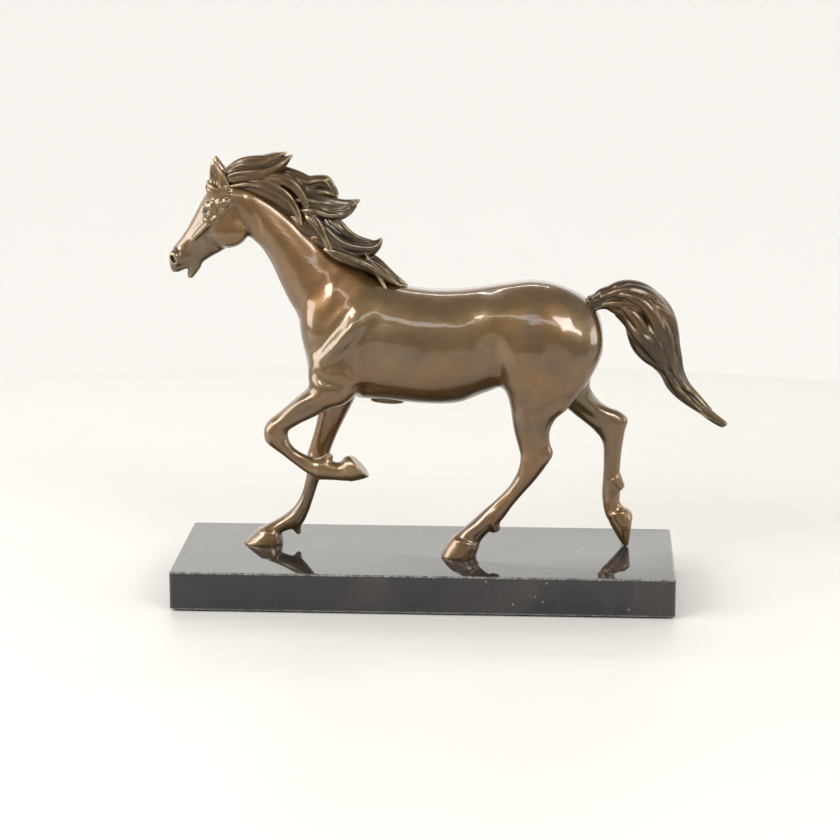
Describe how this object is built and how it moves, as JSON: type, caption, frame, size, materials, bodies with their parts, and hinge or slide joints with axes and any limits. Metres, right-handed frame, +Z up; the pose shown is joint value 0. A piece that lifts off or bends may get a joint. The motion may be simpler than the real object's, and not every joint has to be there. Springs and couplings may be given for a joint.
{
  "type": "bronze statuette",
  "caption": "Hollow cast bronze of a trotting horse with flying mane and tail, bolted through its hooves to a polished black marble plinth with a felt base.",
  "frame": {"origin": "centre of the felt's underside, on the surface that the statuette stands on", "axes": "+Z up, X along the plinth's length with the horse facing -X, and the horse's near (left) side towards -Y"},
  "size_m": [0.2903, 0.1, 0.2326],
  "materials": {
    "patinated_bronze": "brown lacquered patina, satin gloss, worn to gold on high edges",
    "hair_bronze": "brown patina with dark grooves and gold ridges",
    "black_marble": "polished, sparse white specks and veins",
    "black_felt": "pressed wool felt",
    "zinc_plated_steel": "bright zinc plate"
  },
  "bodies": {
    "root": {"marble_plinth": "black_marble", "felt_pad": "black_felt", "torso_casting": "patinated_bronze", "neck_casting": "patinated_bronze", "head_casting": "patinated_bronze", "forelock_casting": "hair_bronze", "mane_upper_locks": "hair_bronze", "mane_middle_locks": "hair_bronze", "mane_lower_locks": "hair_bronze", "tail_casting": "hair_bronze", "near_foreleg": "patinated_bronze", "off_foreleg": "patinated_bronze", "near_hind_leg": "patinated_bronze", "off_hind_leg": "patinated_bronze", "belly_core_plug": "patinated_bronze", "mounting_studs": "zinc_plated_steel", "flat_washers": "zinc_plated_steel", "lock_washers": "zinc_plated_steel", "hex_nuts": "zinc_plated_steel"}
  },
  "joints": []
}
